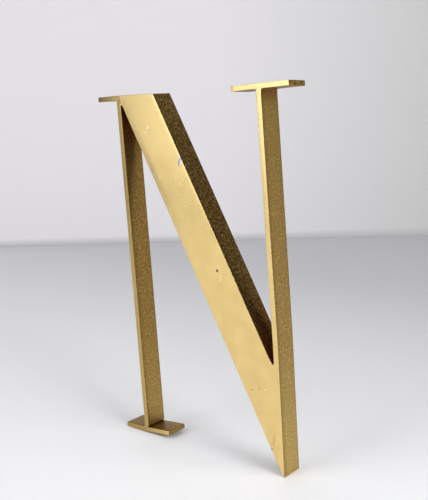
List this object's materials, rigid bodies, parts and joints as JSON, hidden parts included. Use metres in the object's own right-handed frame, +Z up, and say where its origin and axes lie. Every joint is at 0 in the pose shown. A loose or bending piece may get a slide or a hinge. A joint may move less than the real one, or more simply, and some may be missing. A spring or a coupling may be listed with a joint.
{
  "type": "display letter",
  "caption": "Free-standing display letter N with thin stems, a wide diagonal and thin serif plates, built up from gold-finished flat bar.",
  "frame": {"origin": "on the ground plane that the letter stands on, under the middle of its overall box", "axes": "+Z up, -Y towards a reader in front of the letter, +X to the reader's right"},
  "size_m": [0.2016, 0.021, 0.3094],
  "materials": {
    "gold_satin": "satin",
    "weld_filler": "satin"
  },
  "bodies": {
    "root": {"left_stem": "gold_satin", "right_stem": "gold_satin", "diagonal_bar": "gold_satin", "top_left_serif": "gold_satin", "top_right_serif": "gold_satin", "foot_serif": "gold_satin", "top_left_serif_weld": "weld_filler", "top_right_serif_inner_weld": "weld_filler", "top_right_serif_outer_weld": "weld_filler", "foot_weld": "weld_filler", "upper_crotch_weld": "weld_filler", "lower_crotch_weld": "weld_filler"}
  },
  "joints": []
}
